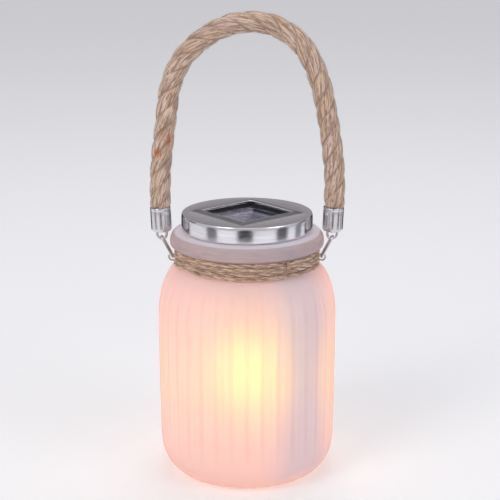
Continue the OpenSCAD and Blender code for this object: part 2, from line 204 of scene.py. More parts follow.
def distance(tree, a, b=0.0):
    """How far one value lies from another."""
    return maths(tree, "ABSOLUTE", maths(tree, "SUBTRACT", a, b))


def opaque(colour):
    """A plain colour with its alpha; an output is left as it is."""
    return (*colour, 1.0) if isinstance(colour, tuple) else colour


def mixed(tree, amount, a, b, blend="MIX"):
    """A mix of two colours or greys; the plain ones are given as three numbers."""
    inputs = {0: amount, 6: opaque(a), 7: opaque(b)}
    return put(tree, "ShaderNodeMix", inputs, data_type="RGBA", blend_type=blend).outputs[2]


def spread(tree, value, low, high, to_low=0.0, to_high=1.0, smooth=False):
    inputs = {0: value, 1: low, 2: high, 3: to_low, 4: to_high}
    kind = "SMOOTHSTEP" if smooth else "LINEAR"
    return put(tree, "ShaderNodeMapRange", inputs, interpolation_type=kind).outputs[0]


def scaled(tree, vector, scale):
    return put(tree, "ShaderNodeVectorMath", {0: vector, 1: scale}, operation="MULTIPLY").outputs[0]


def noise(tree, vector, scale, detail=3.0, rough=0.55):
    inputs = {"Vector": vector, "Scale": scale, "Detail": detail, "Roughness": rough}
    return put(tree, "ShaderNodeTexNoise", inputs).outputs["Fac"]


def parts_of(tree, vector):
    return put(tree, "ShaderNodeSeparateXYZ", {0: vector}).outputs


def place(tree):
    return put(tree, "ShaderNodeTexCoord").outputs["Object"]


def kept(tree, name):
    """A value that the mesh itself keeps at each point."""
    return put(tree, "ShaderNodeAttribute", attribute_name=name)


def bumped(tree, height, strength, distance):
    inputs = {"Height": height, "Strength": strength, "Distance": distance}
    return put(tree, "ShaderNodeBump", inputs).outputs["Normal"]


def new_group(name, inputs, outputs):
    """A node group with named float, vector and colour sockets, ready to be filled."""
    tree = bpy.data.node_groups.new(name, "ShaderNodeTree")
    kinds = {float: "NodeSocketFloat", tuple: "NodeSocketVector", list: "NodeSocketColor"}
    for label, value in inputs.items():
        made = tree.interface.new_socket(label, in_out="INPUT", socket_type=kinds[type(value)])
        made.default_value = value
    for label, kind in outputs.items():
        tree.interface.new_socket(label, in_out="OUTPUT", socket_type=kinds[kind])
    start = tree.nodes.new("NodeGroupInput")
    end = tree.nodes.new("NodeGroupOutput")
    return tree, start.outputs, end.inputs


def placed(tree, group, **values):
    """Places a group with its inputs."""
    return put(tree, "ShaderNodeGroup", values, node_tree=group).outputs


def new_material(name, colour, **settings):
    """A material with one Principled shader; its plain values stay on the shader's own sockets."""
    material = bpy.data.materials.new(name)
    material.use_nodes = True
    tree = material.node_tree
    shader = tree.nodes["Principled BSDF"]
    material.diffuse_color = opaque(colour)
    shader.inputs["Base Color"].default_value = opaque(colour)
    join(tree, shader, **settings)
    return material, tree, shader


def join(tree, shader, **sources):
    """Feeds a shader's sockets; a name's underscores stand for spaces."""
    fill(tree, shader, {key.replace("_", " "): source for key, source in sources.items()})


# ------ shared effects
def make_streaks():
    """Brushing: long fine scratches, for roughness, shade and bump."""
    inputs = {"Place": (0.0, 0.0, 0.0), "Fine": 900.0, "Coarse": 160.0}
    tree, given, result = new_group("streaks", inputs, {"Scratch": float, "Tone": float})
    fine = noise(tree, given["Place"], given["Fine"], 2.0)
    coarse = noise(tree, given["Place"], given["Coarse"], 3.0)
    tree.links.new(fine, result["Scratch"])
    tree.links.new(total(tree, product(tree, fine, 0.5), product(tree, coarse, 0.5)), result["Tone"])
    return tree


def make_grain():
    """Moulded grain: small pits and a slow change of gloss."""
    inputs = {"Place": (0.0, 0.0, 0.0), "Fine": 1600.0, "Slow": 60.0}
    tree, given, result = new_group("grain", inputs, {"Pits": float, "Cloud": float})
    tree.links.new(noise(tree, given["Place"], given["Fine"], 2.0, 0.7), result["Pits"])
    tree.links.new(noise(tree, given["Place"], given["Slow"], 4.0), result["Cloud"])
    return tree


def make_fibres():
    """Plant fibres that run along a spun yarn: their colour, with painted shade in the grooves, and their
    height.
    """
    inputs = {"Straight": (0.0, 0.0, 0.0), "Pale": [1, 1, 1, 1], "Golden": [1, 1, 1, 1],
              "Dark": [0, 0, 0, 1], "Depth": 1.0}
    tree, given, result = new_group("fibres", inputs, {"Colour": list, "Height": float})
    at = given["Straight"]
    thin = noise(tree, scaled(tree, at, (1.0, 1.0, 0.05)), 3600.0, 3.0, 0.7)
    tufts = noise(tree, scaled(tree, at, (1.0, 1.0, 0.07)), 1250.0, 2.0, 0.6)
    specks = noise(tree, scaled(tree, at, (1.0, 1.0, 0.22)), 1000.0, 2.0, 0.6)
    slow = noise(tree, scaled(tree, at, (1.0, 1.0, 0.3)), 230.0, 2.0)
    streak = total(tree, product(tree, thin, 0.25), product(tree, tufts, 0.75))
    light = spread(tree, streak, 0.4, 0.56, 0.05, 1.0)
    light = product(tree, light, spread(tree, specks, 0.35, 0.45, 0.1, 1.0))
    # Painted shade: fibres darker where the yarn lies deep in a groove
    light = maths(tree, "MULTIPLY", light, given["Depth"], clamp=True)
    spun = mixed(tree, spread(tree, slow, 0.42, 0.62), given["Pale"], given["Golden"])
    tree.links.new(mixed(tree, light, given["Dark"], spun), result["Colour"])
    tree.links.new(total(tree, thin, product(tree, tufts, 1.5)), result["Height"])
    return tree


STREAKS = make_streaks()
GRAIN = make_grain()
FIBRES = make_fibres()


# ------ materials
# Frosted glass. Heights and ranges are in metres, and angles in radians from the front.
# Milky tones of the body; their lilac-pink tint is painted light
MILKY_SHADES = (0.83, 0.75, 0.80), (0.88, 0.79, 0.83)
# Painted shade on the lines of the ribs
RIB_PAINTED_SHADE = (0.70, 0.55, 0.62)
# Neck painted darker than the body, in soft bands: painted shade
NECK_PAINTED_SHADES = (0.66, 0.57, 0.60), (0.77, 0.65, 0.66)
# Painted highlight on the lip
LIP_HIGHLIGHT_SHADE = (0.93, 0.93, 1.0)
# Painted glow of the lamp in the glass: warm near the flame, and dimmer on one side as painted shade
WARM_GLOW = (0.30, 0.16, 0.04), (0.27, 0.11, 0.06)
DIM_GLOW = (0.05, 0.06, 0.08)
# Painted highlight on the lip, as glow
LIP_HIGHLIGHT_GLOW = (0.05, 0.045, 0.06)
RIBS_START = 0.014, 0.034
RIBS_STOP = 0.132, 0.110
RIB_RANGE = -2.5, 2.5
NECK_START = 0.128, 0.140
LIP_START = 0.1521, 0.1529
FLAME_MIDDLE = 0.068
WARM_REACH = 0.0, 0.05
GLOW_TOP = 0.116, 0.150
# Side where the painted glow is dimmer: painted shade
DIM_SIDE = 0.71
DIM_REACH = 0.0, 0.055
DIM_WIDTH = 0.3, 0.55
DIM_EDGE = 0.2, 1.1
FOOT_GLOW = 0.012, 0.002


def jar_ribs(tree, at, angle, z):
    """Mask of painted shade and of a dimmer painted glow: high on the lines where the flutes and the drawn
    glass let less light out.
    """
    wall = product(tree, spread(tree, z, *RIBS_START), spread(tree, z, *RIBS_STOP))
    flutes = total(tree, maths(tree, "COSINE", product(tree, angle, FLUTES)),
                   maths(tree, "COSINE", product(tree, angle, 2 * FLUTES)))
    streaks = noise(tree, scaled(tree, at, (1.0, 1.0, 0.03)), 330.0, 2.0)
    drawn = spread(tree, streaks, 0.35, 0.65, -1.2, 1.2)
    return product(tree, total(tree, flutes, drawn), wall)


def jar_shade(tree, at, z, ribs, lip):
    """Milky body with faint ribs of painted shade, a banded neck darkened by painted shade, and a lip
    painted pale as a highlight.
    """
    body = mixed(tree, noise(tree, at, 45.0, 3.0), *MILKY_SHADES)
    # Painted shade on the rib lines
    body = mixed(tree, spread(tree, ribs, *RIB_RANGE, 0.0, 0.36), body, RIB_PAINTED_SHADE)
    bands = noise(tree, scaled(tree, at, (0.1, 0.1, 1.0)), 900.0, 2.0)
    # Painted shade: the neck darker, in soft bands
    neck = mixed(tree, spread(tree, bands, 0.35, 0.65), *NECK_PAINTED_SHADES)
    base = mixed(tree, spread(tree, z, *NECK_START, smooth=True), body, neck)
    # Painted highlight on the lip
    return mixed(tree, lip, base, LIP_HIGHLIGHT_SHADE)


def jar_glow(tree, angle, z, ribs, lip):
    """Painted glow: the lamp's light painted on the glass as emission. It is low on the dim side, which is
    painted shade, at the neck and on the lines of the ribs.
    """
    off_flame = distance(tree, z, FLAME_MIDDLE)
    off_dim = distance(tree, angle, DIM_SIDE)
    dim_width = spread(tree, off_flame, *DIM_REACH, *DIM_WIDTH)
    lit = spread(tree, maths(tree, "DIVIDE", off_dim, dim_width), *DIM_EDGE, smooth=True)
    lit = maths(tree, "MAXIMUM", lit, spread(tree, z, *FOOT_GLOW))
    warm = mixed(tree, spread(tree, off_flame, *WARM_REACH), *WARM_GLOW)
    from_foot = spread(tree, z, 0.0, 0.03, 0.75, 1.0)
    to_neck = spread(tree, z, *GLOW_TOP, 1.0, 0.1, smooth=True)
    level = product(tree, product(tree, from_foot, to_neck), spread(tree, ribs, *RIB_RANGE, 1.26, 0.74))
    glow = mixed(tree, level, (0.0, 0.0, 0.0), mixed(tree, lit, DIM_GLOW, warm))
    # Painted highlight on the lip, as glow
    return mixed(tree, lip, glow, LIP_HIGHLIGHT_GLOW)


def frosted_glass():
    """Etched outside of the jar: milky, lit from within by the flame through the glass, and with more of the
    lamp's light painted on as glow.
    """
    material, tree, shader = new_material(
        "frosted_glass", (0.88, 0.80, 0.84), Roughness=0.9, IOR=1.45, Transmission_Weight=0.5,
        Specular_IOR_Level=0.35, Emission_Strength=1.0)
    at = place(tree)
    x, y, z = parts_of(tree, at)
    angle = maths(tree, "ARCTAN2", x, product(tree, y, -1.0))
    ribs = jar_ribs(tree, at, angle, z)
    lip = spread(tree, z, *LIP_START, smooth=True)
    join(tree, shader, Base_Color=jar_shade(tree, at, z, ribs, lip),
         Emission_Color=jar_glow(tree, angle, z, ribs, lip),
         Normal=bumped(tree, noise(tree, at, 1500.0, 2.0), 0.05, 0.0004))
    return material


def ribbed_glass():
    """Fluted inside of the jar, a little rough from the mould."""
    material, tree, shader = new_material(
        "ribbed_glass", (0.98, 0.96, 0.96), Roughness=0.6, IOR=1.45, Transmission_Weight=1.0)
    cloud = noise(tree, place(tree), 30.0, 3.0)
    join(tree, shader, Roughness=spread(tree, cloud, 0.3, 0.7, 0.55, 0.7),
         Normal=bumped(tree, cloud, 0.1, 0.001))
    return material


def plant_fibre(name, pale, golden, dark, stain=None):
    """Jute: spun fibres with painted shade in the grooves, and a stain where one is given."""
    material, tree, shader = new_material(
        name, pale, Roughness=0.85, Specular_IOR_Level=0.25, Sheen_Weight=1.0, Sheen_Roughness=0.3,
        Sheen_Tint=(1.0, 0.93, 0.88, 1.0))
    lie = kept(tree, "straight").outputs["Vector"]
    groove_shade = kept(tree, "groove_shade").outputs["Fac"]
    fibre = placed(tree, FIBRES, Straight=lie, Pale=opaque(pale), Golden=opaque(golden), Dark=opaque(dark),
                   Depth=groove_shade)
    colour = fibre["Colour"]
    if stain:
        colour = mixed(tree, kept(tree, "stain").outputs["Fac"], colour, stain, "MULTIPLY")
    join(tree, shader, Base_Color=colour, Normal=bumped(tree, fibre["Height"], 0.8, 0.0005))
    return material


def steel(name, colour, rough, streak_scale, tone=0.12):
    """Bare steel with brushing along the axis that is scaled least."""
    material, tree, shader = new_material(name, colour, Metallic=1.0, Roughness=rough)
    streak = placed(tree, STREAKS, Place=scaled(tree, place(tree), streak_scale), Fine=900.0, Coarse=160.0)
    dark = tuple(c * (1 - tone) for c in colour)
    join(tree, shader, Base_Color=mixed(tree, streak["Tone"], dark, colour),
         Roughness=spread(tree, streak["Tone"], 0.3, 0.7, rough * 0.75, rough * 1.3),
         Normal=bumped(tree, streak["Scratch"], 0.12, 0.0002))
    return material


def window_place(tree):
    """Places across the turned window, in metres from its middle."""
    return put(tree, "ShaderNodeVectorRotate", {"Vector": place(tree), "Angle": -WINDOW_TURN},
               rotation_type="Z_AXIS").outputs[0]


# The cap's sheet, with painted reflections. Ranges are in metres, out from the window's middle and from
# front to back.
CAP_SHADE = (0.66, 0.64, 0.655)
SKIRT_SHADE = (0.90, 0.89, 0.925)
# Painted reflections: the plate dull at the front and pale at the back, the frame's slope dark, and a
# painted highlight on the frame's edge
PLATE_REFLECTION_SHADES = (0.50, 0.465, 0.485), (0.74, 0.70, 0.715)
FRAME_DARK_REFLECTION = (0.09, 0.08, 0.095)
FRAME_EDGE_HIGHLIGHT = (0.52, 0.50, 0.52)
BRUSHED_SHADE = (0.33, 0.30, 0.315)
PLATE_DEPTH = -0.03, 0.036
FRAME_FOOT_AT = 0.0236, 0.0252
FRAME_EDGE_AT = 0.02065, 0.0204
FRAME_ROUGH = (0.18, 0.18, 0.18)


def cap_shade(tree, top, tone, flat, off_window):
    """Bright skirt; a plate painted duller, with a painted reflection that pales it towards the back; a
    frame slope darkened by a painted reflection, with a painted highlight on its edge.
    """
    plate = mixed(tree, spread(tree, parts_of(tree, place(tree))[1], *PLATE_DEPTH), *PLATE_REFLECTION_SHADES)
    plate = mixed(tree, flat, FRAME_DARK_REFLECTION, plate)
    plate = mixed(tree, spread(tree, off_window, *FRAME_EDGE_AT), plate, FRAME_EDGE_HIGHLIGHT)
    shade = mixed(tree, top, SKIRT_SHADE, plate)
    return mixed(tree, spread(tree, tone, 0.35, 0.65, 0.0, 0.4), shade, BRUSHED_SHADE)


def cap_steel():
    """The cap's sheet: brushed straight across the top and round the skirt."""
    material, tree, shader = new_material("lid_steel", CAP_SHADE, Metallic=1.0, Roughness=0.3)
    at = place(tree)
    across = placed(tree, STREAKS, Place=scaled(tree, at, (0.03, 1.0, 1.0)), Fine=2600.0, Coarse=420.0)
    around = placed(tree, STREAKS, Place=scaled(tree, at, (0.03, 0.03, 1.0)), Fine=3000.0, Coarse=500.0)
    up = parts_of(tree, put(tree, "ShaderNodeNewGeometry").outputs["Normal"])[2]
    top = spread(tree, up, 0.6, 0.9)
    tone = mixed(tree, top, around["Tone"], across["Tone"])
    scratch = mixed(tree, top, around["Scratch"], across["Scratch"])
    u, v = parts_of(tree, window_place(tree))[:2]
    off_window = maths(tree, "MAXIMUM", distance(tree, u), distance(tree, v))
    flat = spread(tree, off_window, *FRAME_FOOT_AT, smooth=True)
    skirt_rough = spread(tree, around["Tone"], 0.3, 0.7, 0.14, 0.2)
    plate_rough = mixed(tree, flat, FRAME_ROUGH, spread(tree, across["Tone"], 0.3, 0.7, 0.26, 0.4))
    join(tree, shader, Base_Color=cap_shade(tree, top, tone, flat, off_window),
         Roughness=mixed(tree, top, skirt_rough, plate_rough), Normal=bumped(tree, scratch, 0.12, 0.0002))
    return material


def plastic(name, colour, rough, pits=0.25):
    """Moulded plastic or rubber with a fine grain."""
    material, tree, shader = new_material(name, colour, Roughness=rough)
    grain = placed(tree, GRAIN, Place=place(tree), Fine=1600.0, Slow=60.0)
    light = tuple(min(1.0, c * 1.35 + 0.01) for c in colour)
    join(tree, shader, Base_Color=mixed(tree, grain["Cloud"], colour, light),
         Roughness=spread(tree, grain["Cloud"], 0.3, 0.7, rough * 0.85, rough * 1.2),
         Normal=bumped(tree, grain["Pits"], pits, 0.0002))
    return material


def silicone():
    """Soft milky seal that lets some light in."""
    material, tree, shader = new_material(
        "silicone", (0.85, 0.85, 0.84), Roughness=0.5, Subsurface_Weight=0.3, Subsurface_Scale=0.002)
    grain = placed(tree, GRAIN, Place=place(tree), Fine=900.0, Slow=80.0)
    join(tree, shader, Base_Color=mixed(tree, grain["Cloud"], (0.78, 0.78, 0.77), (0.88, 0.88, 0.87)),
         Normal=bumped(tree, grain["Pits"], 0.15, 0.0002))
    return material


def clear_resin():
    """Cast cover over the solar cell."""
    material, tree, shader = new_material(
        "clear_resin", (0.86, 0.86, 0.95), Roughness=0.08, IOR=1.35, Transmission_Weight=1.0)
    swirl = noise(tree, scaled(tree, place(tree), (0.3, 1.0, 1.0)), 110.0, 3.0)
    join(tree, shader, Roughness=spread(tree, swirl, 0.3, 0.7, 0.05, 0.14),
         Normal=bumped(tree, swirl, 0.06, 0.001))
    return material


def lines(tree, along, pitch, width):
    """1 on thin lines that repeat at a pitch along one axis, both in metres."""
    phase = maths(tree, "FRACT", total(tree, maths(tree, "DIVIDE", along, pitch), 0.5))
    return maths(tree, "LESS_THAN", distance(tree, phase, 0.5), 0.5 * width / pitch)


# Solar cell, in metres: pitches and widths of what is printed on it, and the ragged edge of its half that is
# painted paler as a reflection
CRYSTAL_SHADES = (0.012, 0.016, 0.034), (0.035, 0.04, 0.08)
REFLECTION_HALF_SHADE = (0.52, 0.46, 0.49)
REFLECTION_HALF_EDGE = 0.004, 0.007
REFLECTION_HALF_SLANT = 0.16
REFLECTION_HALF_RAGGED = 0.012
STRIP_PITCH = 0.0097
STRIP_GAP = 0.0005
BUSBAR_WIDTH = 0.0007
FINGER_PITCH = 0.0016
FINGER_WIDTH = 0.00012
FINGER_COVER = 0.4
FINGER_SHADE = (0.46, 0.44, 0.48)
BUSBAR_SHADE = (0.26, 0.26, 0.3)
GAP_SHADE = (0.006, 0.006, 0.01)


def painted_reflection_half(tree):
    """1 on the half of the cell that is painted paler as a reflection, up to a ragged slanting edge."""
    at = place(tree)
    x, y = parts_of(tree, at)[:2]
    ragged = product(tree, noise(tree, scaled(tree, at, (0.25, 1.0, 1.0)), 420.0, 2.0), REFLECTION_HALF_RAGGED)
    slant = maths(tree, "SUBTRACT", product(tree, y, REFLECTION_HALF_SLANT), x)
    return spread(tree, total(tree, slant, ragged), *REFLECTION_HALF_EDGE)


def cell_blue():
    """Solar cell: dark crystal strips with silver fingers and busbars, and one half painted paler as a
    reflection.
    """
    material, tree, shader = new_material("cell_blue", (0.03, 0.035, 0.07), Roughness=0.35)
    at = window_place(tree)
    u, v = parts_of(tree, at)[:2]
    crystal = noise(tree, scaled(tree, at, (1.0, 0.4, 1.0)), 380.0, 1.0)
    blue = mixed(tree, crystal, *CRYSTAL_SHADES)
    # Painted reflection: one half of the cell paler
    blue = mixed(tree, painted_reflection_half(tree), blue, REFLECTION_HALF_SHADE)
    fingers = product(tree, lines(tree, v, FINGER_PITCH, FINGER_WIDTH), FINGER_COVER)
    gaps = lines(tree, total(tree, u, 0.5 * STRIP_PITCH), STRIP_PITCH, STRIP_GAP)
    blue = mixed(tree, fingers, blue, FINGER_SHADE)
    blue = mixed(tree, lines(tree, u, STRIP_PITCH, BUSBAR_WIDTH), blue, BUSBAR_SHADE)
    blue = mixed(tree, gaps, blue, GAP_SHADE)
    join(tree, shader, Base_Color=blue, Roughness=spread(tree, crystal, 0.3, 0.7, 0.2, 0.35))
    return material


def board_green():
    """Circuit board: lacquer over copper tracks, with tinned pads."""
    material, tree, shader = new_material("board_green", (0.03, 0.16, 0.07), Roughness=0.35)
    at = place(tree)
    wander = product(tree, noise(tree, at, 160.0, 1.0), 0.004)
    tracks = lines(tree, total(tree, parts_of(tree, at)[1], wander), 0.0021, 0.0006)
    spots = put(tree, "ShaderNodeTexVoronoi", {"Vector": at, "Scale": 260.0}).outputs["Distance"]
    pads = maths(tree, "LESS_THAN", spots, 0.16)
    green = mixed(tree, product(tree, tracks, 0.6), (0.02, 0.12, 0.05), (0.07, 0.27, 0.12))
    join(tree, shader, Base_Color=mixed(tree, pads, green, (0.7, 0.68, 0.62)), Metallic=pads,
         Normal=bumped(tree, tracks, 0.3, 0.0001))
    return material


# Battery, in metres from its two ends: its bare can, its bare cap and the pale band next to the cap
BARE_CAN = 0.0022
BARE_CAP = 0.0012
PALE_BAND = 0.014


def battery_wrap():
    """Battery: sleeve with a pale band between two bare metal ends."""
    material, tree, shader = new_material("battery_wrap", (0.12, 0.35, 0.2), Roughness=0.35)
    low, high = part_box("battery")
    at = place(tree)
    x = parts_of(tree, at)[0]
    grain = placed(tree, GRAIN, Place=at, Fine=1400.0, Slow=120.0)
    bare = maths(tree, "MAXIMUM", maths(tree, "LESS_THAN", x, low.x + BARE_CAN),
                 maths(tree, "GREATER_THAN", x, high.x - BARE_CAP))
    pale = maths(tree, "GREATER_THAN", x, high.x - PALE_BAND)
    sleeve = mixed(tree, grain["Cloud"], (0.05, 0.24, 0.13), (0.07, 0.32, 0.17))
    sleeve = mixed(tree, pale, sleeve, (0.75, 0.75, 0.73))
    join(tree, shader, Base_Color=mixed(tree, bare, sleeve, (0.7, 0.7, 0.7)), Metallic=bare,
         Roughness=spread(tree, grain["Cloud"], 0.3, 0.7, 0.28, 0.42))
    return material


# Lamp, in metres above the floor: where the flame grows hot and cools, and where the light sources end
FLAME_HOT = 0.038, 0.056
FLAME_COOL = 0.078, 0.1
FLAME_SHADES = (0.8, 0.45, 0.02), (1.0, 0.9, 0.02)
LED_END = 0.0865, 0.0895
LED_SHADES = (1.0, 0.7, 0.2), (0.3, 0.12, 0.02)


def flame_frost():
    """Flame-shaped diffuser: brightest low in its belly, deeper orange towards its neck."""
    material, tree, shader = new_material(
        "flame_frost", (1.0, 0.72, 0.3), Roughness=0.5, Emission_Strength=3.0)
    at = place(tree)
    lick = noise(tree, scaled(tree, at, (1.0, 1.0, 0.35)), 70.0, 2.0)
    wander = product(tree, maths(tree, "SUBTRACT", lick, 0.5), 0.03)
    height = total(tree, parts_of(tree, at)[2], wander)
    hot = spread(tree, height, *FLAME_HOT, 0.5, 1.0, smooth=True)
    cool = spread(tree, height, *FLAME_COOL, 1.0, 0.15, smooth=True)
    join(tree, shader, Base_Color=mixed(tree, lick, (0.9, 0.6, 0.3), (1.0, 0.8, 0.5)),
         Emission_Color=mixed(tree, product(tree, hot, cool), *FLAME_SHADES))
    return material


def led_amber():
    """Amber light sources, darker where their leads enter the board."""
    material, tree, shader = new_material(
        "led_amber", (1.0, 0.75, 0.3), Roughness=0.15, Emission_Strength=5.0)
    z = parts_of(tree, place(tree))[2]
    join(tree, shader, Emission_Color=mixed(tree, spread(tree, z, *LED_END), *LED_SHADES))
    return material


# ------ meshes
def mesh_piece(name, points, faces, materials):
    """An object from points in millimetres."""
    mesh = bpy.data.meshes.new(name)
    mesh.from_pydata(np.asarray(points, float) * MM, [], faces)
    for material in materials:
        mesh.materials.append(material)
    mesh.polygons.foreach_set("use_smooth", [True] * len(mesh.polygons))
    made = bpy.data.objects.new(name, mesh)
    bpy.context.scene.collection.objects.link(made)
    return made


def keep(piece, name, values, kind="FLOAT"):
    """Stores one value, or one vector, at each point of a mesh."""
    made = piece.data.attributes.new(name, kind, "POINT")
    field = "value" if kind == "FLOAT" else "vector"
    made.data.foreach_set(field, np.asarray(values, np.float32).ravel())


def skin(rings, sides, first=0, ends=True):
    """Faces of a closed tube whose rings of points follow each other."""
    ring = np.arange(rings - 1)[:, None] * sides + first
    side = np.arange(sides)
    after = (side + 1) % sides
    quads = np.stack([ring + side, ring + after, ring + after + sides, ring + side + sides], axis=-1)
    faces = quads.reshape(-1, 4).tolist()
    if ends:
        last = first + (rings - 1) * sides
        faces.append(list(range(first + sides - 1, first - 1, -1)))
        faces.append(list(range(last, last + sides)))
    return faces


def arc(cx, cz, a, b, start, stop, steps):
    """Points of part of an ellipse, as (radius, height)."""
    angles = np.radians(np.linspace(start, stop, steps + 1))
    return [(cx + a * math.cos(t), cz + b * math.sin(t)) for t in angles]


def straight(start, stop, steps):
    """Points between two corners, without the first."""
    t = np.linspace(0, 1, steps + 1)[1:, None]
    return [tuple(p) for p in np.array(start) + t * (np.array(stop) - np.array(start))]


def turned(profile, sides, shape=None):
    """Rings of points of a turned profile; shape(radius, height, angle) may change a radius."""
    angles = np.arange(sides) * 2 * np.pi / sides
    radius = np.array([p[0] for p in profile])[:, None] * np.ones(sides)
    height = np.array([p[1] for p in profile])[:, None] * np.ones(sides)
    if shape:
        radius = shape(radius, height, angles)
    return np.stack([radius * np.cos(angles), radius * np.sin(angles), height], axis=-1)


def smooth_step(t):
    """0 to 1, with level ends."""
    t = np.clip(t, 0, 1)
    return t * t * (3 - 2 * t)


def smooth_line(points, step):
    """Points an even step apart on a curve through the given ones, and their distances along it."""
    p = np.array(points, float)
    p = np.vstack([2 * p[0] - p[1], p, 2 * p[-1] - p[-2]])
    t = np.linspace(0, 1, 24, endpoint=False)[:, None]
    runs = []
    for a, b, c, d in zip(p, p[1:], p[2:], p[3:]):
        bend, twist = 2 * a - 5 * b + 4 * c - d, 3 * b - a - 3 * c + d
        runs.append(0.5 * (2 * b + (c - a) * t + bend * t**2 + twist * t**3))
    line = np.vstack(runs + [p[-2:-1]])
    along = np.concatenate([[0], np.cumsum(np.linalg.norm(np.diff(line, axis=0), axis=1))])
    even = np.linspace(0, along[-1], int(along[-1] / step) + 1)
    return np.stack([np.interp(even, along, line[:, i]) for i in range(3)], axis=1), even


def unit(vectors):
    return vectors / np.linalg.norm(vectors, axis=-1, keepdims=True)


def unrolled(radius, turn, shift, along):
    """Places on a straightened yarn, for fibres that follow it however it bends."""
    flat = [radius * np.cos(turn), radius * np.sin(turn) + shift, along[:, None] + 0 * turn]
    return np.stack(flat, axis=-1)


def hairs(roots, lie, out, count, stand):
    """Loose fibres as thin three-sided tubes; lie runs along their surface and out leaves it."""
    steps, length, thickness, root_depth = 6, 5.0, 0.055, 0.2
    points, faces = [], []
    picks = chance.choice(len(roots), count, replace=False)
    t = np.linspace(0, 1, steps)[:, None]
    for pick in picks:
        long = length * chance.uniform(0.4, 1.0)
        way = unit(lie[pick] * chance.choice([-1, 1]) + out[pick] * chance.uniform(0.1, stand))
        curl = unit(chance.normal(size=3)) * long * chance.uniform(0.1, 0.35)
        line = roots[pick] - root_depth * out[pick] + way * long * t + curl * t**2
        side = unit(np.cross(way, curl))
        up = np.cross(way, side)
        thick = thickness * (1 - 0.8 * t)
        first = 3 * steps * len(points)
        ring = [line + thick * (math.cos(a) * side + math.sin(a) * up) for a in (0, 2.1, 4.2)]
        points.append(np.stack(ring, axis=1).reshape(-1, 3))
        faces += skin(steps, 3, first)
    return np.vstack(points), faces


def gathered(grids):
    """One list of points from the grids of several strands."""
    return np.concatenate(grids).reshape(-1, 3)


def shared(values, sides, strands):
    """A line's values for each point of the strands round it."""
    return np.tile(np.repeat(values, sides, axis=0), (strands, 1))


def spun_piece(name, body, faces, flat, deep, fuzz, material):
    """A spun body with its loose fibres, and with what its finish reads at each point."""
    loose, loose_faces = fuzz
    faces = faces + [[i + len(body) for i in face] for face in loose_faces]
    piece = mesh_piece(name, np.vstack([body, loose]), faces, [material])
    keep(piece, "straight", np.vstack([flat, loose]) * MM, "FLOAT_VECTOR")
    keep(piece, "groove_shade", np.concatenate([deep, np.ones(len(loose))]))
    return piece


# ------ jar
def jar_outline():
    """The jar's outside from the middle of its foot up to the edge of the rim."""
    r, up = RECESS_R, RECESS_UP
    outline = [(0.01, up), (14, up), (23, up), (25.5, up)]
    outline += [(r - 0.7, up), (r - 0.2, up - 0.05), (r, up - 0.25)]
    outline += arc(r + RECESS_EDGE, up, RECESS_EDGE, up, 195, 270, 6) + [(32, 0), (35, 0), (FOOT_R, 0)]
    outline += arc(FOOT_R, HEEL_Z, SIDE_R - FOOT_R, HEEL_Z, -84, 0, 18)
    outline += straight((SIDE_R, HEEL_Z), (JAR_R - 0.2, TAPER_Z), 6)
    outline += straight((JAR_R - 0.2, TAPER_Z), (JAR_R, FULL_Z), 5)
    outline += straight((JAR_R, FULL_Z), (JAR_R, SHOULDER_Z - 2), 6)
    outline += arc(SHOULDER_X, SHOULDER_Z, JAR_R - SHOULDER_X, SHOULDER_RISE, 0, 76, 26)
    outline += [(GROOVE_R, z) for z in (GROOVE_LOW_Z + 0.2, GROOVE_LOW_Z + 4, GROOVE_TOP_Z - 0.6)]
    outline += [(GROOVE_R + 0.7, GROOVE_TOP_Z + 0.2)]
    outline += arc(BEAD_R - BEAD_EDGE, BEAD_LOW_Z, BEAD_EDGE, BEAD_EDGE, -90, 0, 6)
    outline += arc(RIM_R, BEAD_TOP_Z, BEAD_R - RIM_R, RIM_Z - BEAD_TOP_Z, 0, 90, 12)
    return outline


def jar_inside():
    """The jar's inside from the edge of the rim down to the middle of its floor."""
    inside = [(MOUTH_R + 0.6, RIM_Z), (MOUTH_R, RIM_Z - 0.6)]
    inside += straight((MOUTH_R, RIM_Z - 0.6), (MOUTH_R, MOUTH_LOW_Z), 6)
    inside += arc(MOUTH_R, SHOULDER_Z, INSIDE_R - MOUTH_R, INSIDE_RISE, 84, 0, 30)
    inside += straight((INSIDE_R, SHOULDER_Z), (INSIDE_R, HEEL_Z), 24)
    inside += arc(FOOT_R, HEEL_Z, INSIDE_R - FOOT_R, HEEL_Z - FLOOR_Z, -4, -90, 14)
    inside += [(30, FLOOR_Z), (15, FLOOR_Z), (0.01, FLOOR_Z)]
    return inside


def fluted(radius, height, angle):
    """Rounded flutes cut into the inside of the side wall; one faces the front."""
    wave = 0.5 + 0.5 * np.cos(FLUTES * (angle + np.pi / 2))
    ends = smooth_step((height - FLUTE_LOW_Z + 6) / 12) * smooth_step((FLUTE_TOP_Z - height) / 14)
    return radius + FLUTE_DEPTH * wave**0.8 * ends


def build_jar():
    """One closed wall of glass. Its inside, without the rim and with the floor, has the ribbed finish."""
    outline, inside = jar_outline(), jar_inside()
    points = np.vstack([turned(outline, JAR_SIDES), turned(inside, JAR_SIDES, fluted)]).reshape(-1, 3)
    rings = len(outline) + len(inside)
    jar = mesh_piece("jar", points, skin(rings, JAR_SIDES), [frosted_glass(), ribbed_glass()])
    finish = np.zeros(len(jar.data.polygons), np.int32)
    finish[(len(outline) + 1) * JAR_SIDES: (rings - 1) * JAR_SIDES] = 1
    finish[-1] = 1
    jar.data.polygons.foreach_set("material_index", finish)
    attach(jar, "jar")
    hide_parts("glass_jar")


# ------ rope handle
def on_ferrule(side, along):
    """A point on a ferrule's axis; side is -1 or 1."""
    x, z = FERRULE_FOOT
    return side * (x + along * math.sin(FERRULE_TILT)), 0.0, z + along * math.cos(FERRULE_TILT)


